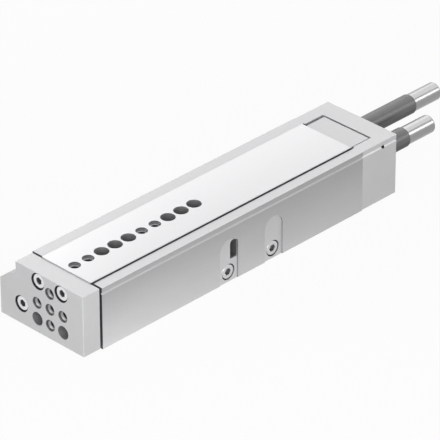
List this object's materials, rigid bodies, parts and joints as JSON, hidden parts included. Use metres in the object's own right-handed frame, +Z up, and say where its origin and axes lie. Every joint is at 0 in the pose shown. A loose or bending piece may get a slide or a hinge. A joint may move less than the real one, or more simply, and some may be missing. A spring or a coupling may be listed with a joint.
{
  "type": "pneumatic slide table",
  "caption": "Pneumatic slide table: ball-guided slide in a cylinder housing, with a drilled yoke plate in front and absorber end stops behind.",
  "frame": {"origin": "on the mounting face under the housing, where the slide's centre plane crosses the line through the front pair of mounting holes", "axes": "+X the way the table advances, +Z up from the mounting face to the slide, +Y to the side with the two screw pockets"},
  "size_m": [0.3143, 0.0652, 0.0395],
  "materials": {
    "housing": "fine milled, clear anodised",
    "cap": "fine milled, clear anodised",
    "yoke": "fine milled, clear anodised",
    "slide": "ground",
    "stop_plate": "milled",
    "hardened_steel": "ground",
    "screw_steel": "zinc plated",
    "bronze": "machined",
    "seal_rubber": "matt",
    "rod_chrome": "hard chromed",
    "piston_alloy": "turned",
    "magnet": "bonded magnet",
    "cage_brass": "stamped",
    "ball_steel": "polished",
    "sleeve": "dark burnished steel",
    "absorber": "bright turned steel"
  },
  "bodies": {
    "base": {"housing": "housing", "rear_cap": "cap", "rear_cap_screws": "screw_steel", "guide_rail_left": "hardened_steel", "guide_rail_right": "hardened_steel", "stop_bar": "hardened_steel", "pocket_screws": "screw_steel", "rod_bearing": "bronze", "rod_seal": "seal_rubber", "rod_wiper": "seal_rubber", "bearing_o_ring": "seal_rubber", "bearing_circlip": "screw_steel", "cap_o_ring": "seal_rubber", "port_plugs": "screw_steel", "channel_plugs": "ball_steel", "cap_clamp_screw": "screw_steel"},
    "table": {"slide": "slide", "yoke_plate": "yoke", "yoke_screws": "screw_steel", "rod_screw": "screw_steel", "piston_rod": "rod_chrome", "piston": "piston_alloy", "piston_screw": "screw_steel", "piston_seals": "seal_rubber", "piston_magnet": "magnet", "stop_plate": "stop_plate", "stop_plate_screws": "screw_steel", "plate_clamp_screw": "screw_steel"},
    "cage_left": {"ball_cage_left": "cage_brass", "balls_left": "ball_steel"},
    "cage_right": {"ball_cage_right": "cage_brass", "balls_right": "ball_steel"},
    "retract_stop": {"retract_sleeve": "sleeve", "retract_absorber": "absorber"},
    "retract_pin": {"retract_plunger": "rod_chrome"},
    "advance_stop": {"advance_sleeve": "sleeve", "advance_absorber": "absorber"},
    "advance_pin": {"advance_plunger": "rod_chrome"}
  },
  "joints": [
    {"name": "table_stroke", "type": "slide", "parent": "base", "child": "table", "axis": [1, 0, 0], "range_m": [0, 0.1]},
    {"name": "cage_left_travel", "type": "slide", "parent": "base", "child": "cage_left", "axis": [1, 0, 0], "range_m": [0, 0.05]},
    {"name": "cage_right_travel", "type": "slide", "parent": "base", "child": "cage_right", "axis": [1, 0, 0], "range_m": [0, 0.05]},
    {"name": "retract_stop_adjust", "type": "slide", "parent": "base", "child": "retract_stop", "axis": [1, 0, 0], "range_m": [-0.005, 0]},
    {"name": "retract_plunger_travel", "type": "slide", "parent": "retract_stop", "child": "retract_pin", "axis": [1, 0, 0], "range_m": [0, 0.008]},
    {"name": "advance_stop_adjust", "type": "slide", "parent": "table", "child": "advance_stop", "axis": [1, 0, 0], "range_m": [-0.005, 0]},
    {"name": "advance_plunger_travel", "type": "slide", "parent": "advance_stop", "child": "advance_pin", "axis": [1, 0, 0], "range_m": [-0.008, 0]}
  ],
  "couplings": [
    {"joint": "cage_left_travel", "follows": "table_stroke", "ratio": 0.5},
    {"joint": "cage_right_travel", "follows": "table_stroke", "ratio": 0.5},
    {"joint": "retract_plunger_travel", "follows": "table_stroke", "ratio": 0.08},
    {"joint": "advance_plunger_travel", "follows": "table_stroke", "ratio": -0.08}
  ]
}
